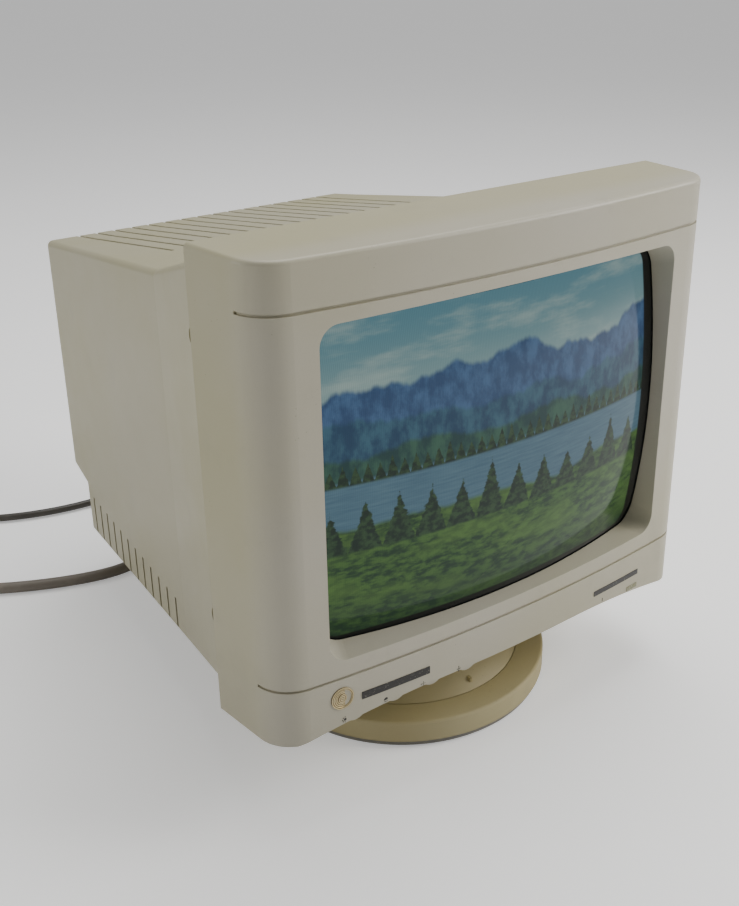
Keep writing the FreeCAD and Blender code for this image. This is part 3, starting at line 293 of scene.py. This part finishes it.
def gold_badge(name):
    """Satin gold lacquer with turned rings and dulled patches."""
    s = Shader(name)
    low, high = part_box("badge_roundel")
    centre = (low + high) / 2
    dx, dz = s.sub(s.x, centre.x), s.sub(s.z, centre.z)
    distance = s.math("SQRT", s.add(s.mul(dx, dx), s.mul(dz, dz)))
    rings = s.math("SINE", s.mul(distance, 5200.0))
    groove = s.step(rings, -0.2, 0.6)
    dull = s.step(s.noise(260.0, 3.0), 0.45, 0.7)
    tint = s.mix(groove, (0.20, 0.15, 0.07), (0.72, 0.60, 0.34))
    tint = s.mix(s.mul(dull, 0.35), tint, (0.42, 0.37, 0.26))
    return s.finish(Base_Color=tint, Metallic=0.55, Roughness=0.38, Normal=s.bump(groove, 0.0002, 0.7))


def foil(name):
    """Dark hot-stamped foil, worn thin in places."""
    s = Shader(name)
    worn = s.step(s.noise(700.0, 3.0, 0.7), 0.58, 0.72)
    tint = s.mix(s.mul(worn, 0.6), (0.018, 0.016, 0.015), (0.30, 0.28, 0.23))
    return s.finish(Base_Color=tint, Roughness=0.35, Normal=s.bump(worn, 0.00005, 0.4))


def indicator(name):
    """Unlit olive lens with ribs."""
    s = Shader(name)
    ribs = s.math("SINE", s.mul(s.x, 5200.0))
    tint = s.mix(s.step(ribs, -0.4, 0.6), (0.07, 0.07, 0.025), (0.30, 0.29, 0.12))
    haze = s.mul(s.noise(500.0, 3.0), 0.15)
    return s.finish(Base_Color=tint, Roughness=s.add(0.2, haze), Coat_Weight=0.5,
                    Normal=s.bump(ribs, 0.0001, 0.4))


# ---- the picture on the screen: a generic landscape ----
class Landscape:
    """A lake between rolling hills, painted layer over layer on a Shader."""

    def __init__(self, shader):
        self.s = s = shader
        self.u = s.math("DIVIDE", s.sub(s.x, PICTURE_LEFT), PICTURE_RIGHT - PICTURE_LEFT)
        self.v = s.math("DIVIDE", s.sub(s.z, PICTURE_LOW), PICTURE_HIGH - PICTURE_LOW)
        self.flat = s.vector(self.u, self.v)

    def stroke(self, scale, detail=4.0, stretch=(1.0, 1.0, 1.0), roughness=0.6):
        """Brush-like noise in the picture's own plane."""
        s = self.s
        return s.noise(scale, detail, roughness, s.stretched(stretch, self.flat))

    def ridge(self, base, height, scale, seed, softness=0.010):
        """1 below a hilly outline."""
        s = self.s
        outline = s.noise(1.0, 5.0, 0.55, s.vector(s.mul(self.u, scale), seed))
        top = s.add(base, s.mul(s.sub(outline, 0.5), 2 * height))
        return s.step(s.sub(top, self.v), -softness, softness)

    def sky(self):
        s = self.s
        colour = s.mix(s.step(self.v, 0.60, 1.0), (0.36, 0.50, 0.46), (0.12, 0.28, 0.34))
        clouds = s.step(self.stroke(3.2, 6.0, (1.0, 3.0, 1.0)), 0.46, 0.70)
        return s.mix(s.mul(clouds, 0.6), colour, (0.48, 0.60, 0.54))

    def hills(self, colour):
        s = self.s
        rock = self.stroke(16.0, 6.0, (1.6, 0.7, 1.0))
        ranges = (
            (0.80, 0.16, 3.2, 4.1, (0.03, 0.08, 0.19), (0.07, 0.16, 0.32)),
            (0.69, 0.15, 4.3, 9.7, (0.015, 0.06, 0.13), (0.05, 0.15, 0.22)),
            (0.60, 0.09, 5.1, 2.3, (0.010, 0.055, 0.055), (0.045, 0.14, 0.09)),
        )
        for base, height, scale, seed, dark, light in ranges:
            shade = s.mix(s.step(rock, 0.38, 0.66), dark, light)
            colour = s.mix(self.ridge(base, height, scale, seed), colour, shade)
        return colour

    def lake(self, colour):
        s = self.s
        ripples = self.stroke(22.0, 3.0, (0.5, 6.0, 1.0))
        water = s.mix(ripples, (0.035, 0.10, 0.18), (0.15, 0.28, 0.34))
        return s.mix(s.step(self.v, SHORELINE + 0.0075, SHORELINE - 0.0075), colour, water)

    def meadow(self, colour):
        s = self.s
        ground = self.ridge(0.37, 0.07, 2.1, 6.6)
        tufts = self.stroke(26.0, 6.0, (1.0, 1.7, 1.0))
        grass = s.mix(s.step(tufts, 0.38, 0.64), (0.010, 0.045, 0.016), (0.075, 0.18, 0.035))
        sunny = s.step(self.stroke(3.4, 4.0, (1.0, 2.6, 1.0)), 0.44, 0.60)
        grass = s.mix(s.mul(sunny, 0.5), grass, (0.12, 0.25, 0.045))
        shade = s.step(self.v, 0.20, -0.05)
        grass = s.mix(s.mul(shade, 0.7), grass, (0.012, 0.035, 0.020))
        return s.mix(ground, colour, grass)

    def firs(self, colour):
        """Rows of firs of uneven height along both shores."""
        s = self.s
        speckle = s.step(self.stroke(46.0, 5.0), 0.40, 0.62)
        leaves = s.mix(speckle, (0.006, 0.024, 0.012), (0.035, 0.085, 0.030))
        for foot, height, pitch, shift in ((0.52, 0.055, 0.030, 0.0), (0.30, 0.15, 0.085, 0.03)):
            count = s.math("DIVIDE", s.add(self.u, shift), pitch)
            number = s.math("FLOOR", count)
            across = s.math("ABSOLUTE", s.sub(s.math("FRACT", count), 0.5))
            chance = s.noise(1.0, 0.0, 0.5, s.vector(s.mul(number, 3.7), foot))
            size = s.add(0.55, s.mul(chance, 0.9))
            tip = s.mul(size, height)
            rise = s.math("DIVIDE", s.sub(self.v, foot), tip)
            ragged = s.mul(s.sub(self.stroke(60.0, 2.0), 0.5), 0.25)
            outline = s.sub(s.mul(s.sub(1.0, rise), 0.5), s.add(across, ragged))
            tree = s.mul(s.step(outline, -0.02, 0.04), s.step(self.v, foot - 0.012, foot))
            colour = s.mix(tree, colour, leaves)
        return colour

    def paint(self):
        colour = self.sky()
        for layer in (self.hills, self.lake, self.meadow, self.firs):
            colour = layer(colour)
        return colour

    def lit(self):
        """1 inside the rounded picture area, 0 on the black border."""
        s = self.s
        excess = []
        for axis, low, high in ((s.x, PICTURE_LEFT, PICTURE_RIGHT), (s.z, PICTURE_LOW, PICTURE_HIGH)):
            away = s.math("ABSOLUTE", s.sub(axis, (low + high) / 2))
            excess.append(s.math("MAXIMUM", s.sub(away, (high - low) / 2 - PICTURE_CORNER), 0.0))
        corner = s.math("SQRT", s.add(s.mul(excess[0], excess[0]), s.mul(excess[1], excess[1])))
        return s.step(corner, PICTURE_CORNER + PICTURE_EDGE, PICTURE_CORNER - PICTURE_EDGE)


def lit_screen(name):
    """Tinted front glass with the lit picture behind it."""
    s = Shader(name)
    picture = Landscape(s)
    lit = picture.lit()
    stripes = s.math("SINE", s.mul(s.x, 2 * math.pi / PHOSPHOR_PITCH))
    shimmer = s.add(0.94, s.mul(stripes, 0.06))
    smear = s.step(s.noise(18.0, 5.0, 0.6), 0.45, 0.75)
    glow = s.mul(s.mul(lit, shimmer), PICTURE_GLOW)
    dust = s.bump(s.noise(60.0, 2.0), 0.00003, 0.2)
    return s.finish(Base_Color=(0.012, 0.014, 0.014), Roughness=s.add(0.10, s.mul(smear, 0.06)),
                    Emission_Color=picture.paint(), Emission_Strength=glow,
                    Specular_IOR_Level=0.16, Coat_Weight=0.12,
                    Coat_Roughness=s.add(0.03, s.mul(smear, 0.05)), Normal=dust)


def materials_by_slot():
    """One finish for every material slot of the record."""
    beige, cream, olive = (0.480, 0.452, 0.370), (0.440, 0.410, 0.255), (0.260, 0.235, 0.160)
    return {
        "beige_plastic": moulded_plastic("aged_beige", beige, cream, olive),
        "yellowed_plastic": moulded_plastic("yellowed_base", (0.51, 0.46, 0.27), (0.47, 0.40, 0.20),
                                            (0.22, 0.18, 0.09), 0.45, 0.00012),
        "grey_plastic": moulded_plastic("grey_mouldings", (0.24, 0.235, 0.225), (0.23, 0.22, 0.18),
                                        (0.12, 0.115, 0.10), 0.5),
        "black_plastic": moulded_plastic("black_mouldings", (0.020, 0.020, 0.021), (0.035, 0.033, 0.030),
                                         (0.012, 0.012, 0.012), 0.4),
        "white_plastic": moulded_plastic("white_mouldings", (0.62, 0.61, 0.55), (0.58, 0.54, 0.42),
                                         (0.35, 0.32, 0.25), 0.38),
        "cable_grey": sheath("grey_sheath", (0.20, 0.175, 0.145), (0.28, 0.25, 0.21)),
        "cable_dark": sheath("dark_sheath", (0.055, 0.050, 0.042), (0.11, 0.10, 0.085)),
        "rubber": sheath("black_rubber", (0.015, 0.015, 0.015), (0.05, 0.048, 0.045)),
        "badge_gold": gold_badge("gold_lacquer"),
        "badge_dark": foil("stamped_foil"),
        "lens": indicator("indicator_window"),
        "panel_glass": lit_screen("lit_front_glass"),
        "funnel_glass": sintered("graphite_coating", (0.015, 0.015, 0.017)),
        "phosphor": sintered("phosphor_layer", (0.25, 0.27, 0.26)),
        "steel": metal("zinc_plated_steel", (0.56, 0.56, 0.54), 0.28),
        "mask_steel": metal("blackened_steel", (0.10, 0.095, 0.09), 0.5),
        "gold_pin": metal("brass_pins", (0.72, 0.55, 0.24), 0.25),
        "aluminium": metal("extruded_aluminium", (0.70, 0.71, 0.72), 0.32, (500.0, 500.0, 20.0)),
        "copper": winding("copper_windings"),
        "ferrite": sintered("dark_ferrite", (0.03, 0.03, 0.033)),
        "tape": wound_tape("coil_tape"),
        "board": circuit_board("phenolic_board"),
    }


def dress_cad_nodes(finishes):
    """Give each CAD node its procedural material."""
    for part in frame["record"]["subparts"]:
        node = frame["nodes"][part["node"]]
        node.data.materials.clear()
        node.data.materials.append(finishes[part["material_slot"]])


def soften(name, width):
    """Small moulded radius on the sharp edges of a CAD node."""
    bevel = frame["nodes"][name].modifiers.new("moulded_radius", "BEVEL")
    bevel.width = width
    bevel.segments = 2
    bevel.limit_method = "ANGLE"
    bevel.angle_limit = math.radians(SHARP_ANGLE)


# ---- pieces of mesh ----
def new_piece(name, mesh, body, finish):
    """Link a finished mesh as a piece that rides on a body, or on none if body is None."""
    piece = bpy.data.objects.new(name, mesh)
    bpy.context.scene.collection.objects.link(piece)
    mesh.materials.append(finish)
    if body:
        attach(piece, body)
    return piece


def flexible_cable(node, finish_slot, finishes):
    """Smooth-shaded copy of a cable node that stands in for it, riding on no body."""
    mesh = frame["nodes"][node].data.copy()
    mesh.materials.clear()
    edit = bmesh.new()
    edit.from_mesh(mesh)
    bmesh.ops.remove_doubles(edit, verts=edit.verts, dist=1e-6)
    edit.to_mesh(mesh)
    edit.free()
    for polygon in mesh.polygons:
        polygon.use_smooth = True
    piece = new_piece(f"{node}_sheath", mesh, None, finishes[finish_slot])
    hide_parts(node)
    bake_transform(piece)


def printed_mark(name, outlines, x, z, finish):
    """Flat printed sign on the front, made of closed outlines of (x, z) points."""
    y = front_surface_y(x) - SIGN_LIFT
    edit = bmesh.new()
    for outline in outlines:
        loop = [edit.verts.new((x + px * SIGN_SCALE, y, z + pz * SIGN_SCALE)) for px, pz in outline]
        back = bmesh.ops.extrude_face_region(edit, geom=[edit.faces.new(loop)])
        moved = [item for item in back["geom"] if isinstance(item, bmesh.types.BMVert)]
        bmesh.ops.translate(edit, verts=moved, vec=(0, SIGN_DEPTH, 0))
    bmesh.ops.recalc_face_normals(edit, faces=edit.faces)
    mesh = bpy.data.meshes.new(name)
    edit.to_mesh(mesh)
    edit.free()
    new_piece(name, mesh, "head", finish)


def front_surface_y(x):
    """Y of the bowed front at x, from a ray into the bezel."""
    bezel = frame["nodes"]["front_bezel"]
    height = FRONT_HIGH.z - 0.02
    hit, place, _, _ = bezel.ray_cast(Vector((x, FRONT_LOW.y - 0.05, height)), Vector((0, 1, 0)))
    return place.y if hit else FRONT_LOW.y


def circle(radius, count=20, turn=1.0, x=0.0, z=0.0):
    """Points of an arc, a full circle by default."""
    return [(x + radius * math.cos(2 * math.pi * turn * k / count),
             z + radius * math.sin(2 * math.pi * turn * k / count)) for k in range(count)]


def bar(x, z, width, height):
    return [(x - width / 2, z - height / 2), (x + width / 2, z - height / 2),
            (x + width / 2, z + height / 2), (x - width / 2, z + height / 2)]


def control_marks(finish):
    """Generic signs beside the wheels and over the power button."""
    sun = [circle(0.8, 12)]
    for k in range(8):
        angle = math.pi * k / 4
        sun.append(bar(1.55 * math.cos(angle), 1.55 * math.sin(angle), 0.45, 0.45))
    contrast = [circle(1.5, 16, 0.53), bar(0, -0.9, 2.6, 0.25)]
    width = [bar(0, 0, 0.35, 2.6), bar(-1.2, 0, 1.1, 0.4), bar(1.2, 0, 1.1, 0.4)]
    height = [bar(0, 0, 2.6, 0.35), bar(0, -1.2, 0.4, 1.1), bar(0, 1.2, 0.4, 1.1)]
    for number, sign in enumerate((sun, contrast, width, height), start=1):
        low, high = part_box(f"thumbwheel_{number}")
        printed_mark(f"control_sign_{number}", sign, low.x - 0.0005, low.z + 0.007, finish)
    low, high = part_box("power_button")
    printed_mark("power_sign", [bar(0, 0, 0.5, 2.4)], (low.x + high.x) / 2, low.z + 0.0052, finish)


# ---- surroundings ----
def build_floor():
    """Plain pale floor, far larger than the object."""
    s = Shader("pale_floor")
    tone = s.mix(s.noise(3.0), (0.86, 0.86, 0.86), (0.90, 0.90, 0.90))
    seen = s.tree.nodes.new("ShaderNodeLightPath").outputs["Is Camera Ray"]
    s.finish(Base_Color=tone, Roughness=0.8, Emission_Color=(1.0, 1.0, 1.0),
             Emission_Strength=s.mul(seen, FLOOR_GLOW))
    edit = bmesh.new()
    bmesh.ops.create_grid(edit, x_segments=4, y_segments=4, size=FLOOR_HALF)
    mesh = bpy.data.meshes.new("floor")
    edit.to_mesh(mesh)
    edit.free()
    mesh.materials.append(s.material)
    floor = bpy.data.objects.new("floor", mesh)
    bpy.context.scene.collection.objects.link(floor)


def area_light(name, place, target, size, power, colour=(1.0, 1.0, 1.0)):
    lamp = bpy.data.lights.new(name, "AREA")
    lamp.size = size
    lamp.energy = power
    lamp.color = colour
    holder = bpy.data.objects.new(name, lamp)
    holder.location = place
    holder.rotation_euler = (Vector(target) - Vector(place)).to_track_quat("-Z", "Y").to_euler()
    bpy.context.scene.collection.objects.link(holder)


def build_lights():
    """Soft key from the front right, a light behind on the left, and plain bright surroundings."""
    area_light("key", (1.35, -0.95, 1.05), (0.08, -0.1, 0.22), 0.9, 26, (1.0, 0.98, 0.95))
    area_light("top", (0.5, 0.35, 2.1), (0, 0, 0.3), 1.4, 30)
    area_light("rear_left", (-2.1, 0.9, 0.9), (0, 0.05, 0.2), 1.2, 15, (1.0, 0.99, 0.96))
    world = bpy.data.worlds.new("studio")
    world.use_nodes = True
    tree = world.node_tree
    seen = tree.nodes.new("ShaderNodeLightPath").outputs["Is Camera Ray"]
    strength = tree.nodes.new("ShaderNodeMapRange")
    strength.inputs["To Min"].default_value = WORLD_LIGHT
    strength.inputs["To Max"].default_value = WORLD_SEEN
    tree.links.new(seen, strength.inputs["Value"])
    background = tree.nodes["Background"]
    background.inputs["Color"].default_value = (1.0, 1.0, 1.0, 1.0)
    tree.links.new(strength.outputs["Result"], background.inputs["Strength"])
    bpy.context.scene.world = world


def build_camera():
    """Camera to the left of the screen, above it, looking down at the front corner."""
    reach = math.cos(CAMERA_PITCH)
    forward = Vector((math.sin(CAMERA_YAW) * reach, math.cos(CAMERA_YAW) * reach, -math.sin(CAMERA_PITCH)))
    level = Vector((math.cos(CAMERA_YAW), -math.sin(CAMERA_YAW), 0))
    upright = level.cross(forward)
    right = level * math.cos(CAMERA_ROLL) + upright * math.sin(CAMERA_ROLL)
    up = upright * math.cos(CAMERA_ROLL) - level * math.sin(CAMERA_ROLL)
    data = bpy.data.cameras.new("camera")
    data.lens = CAMERA_LENS
    data.sensor_width = 36.0
    data.shift_x, data.shift_y = CAMERA_SHIFT
    camera = bpy.data.objects.new("camera", data)
    turn = Matrix((right, up, -forward)).transposed().to_4x4()
    camera.matrix_world = Matrix.Translation(CAMERA_PLACE) @ turn
    bpy.context.scene.collection.objects.link(camera)
    bpy.context.scene.camera = camera


finishes = materials_by_slot()
dress_cad_nodes(finishes)
for soft_node, radius in EDGE_RADII:
    soften(soft_node, radius)
flexible_cable("signal_cable", "cable_grey", finishes)
flexible_cable("power_cord", "cable_dark", finishes)
control_marks(finishes["badge_dark"])
build_floor()
build_lights()
build_camera()
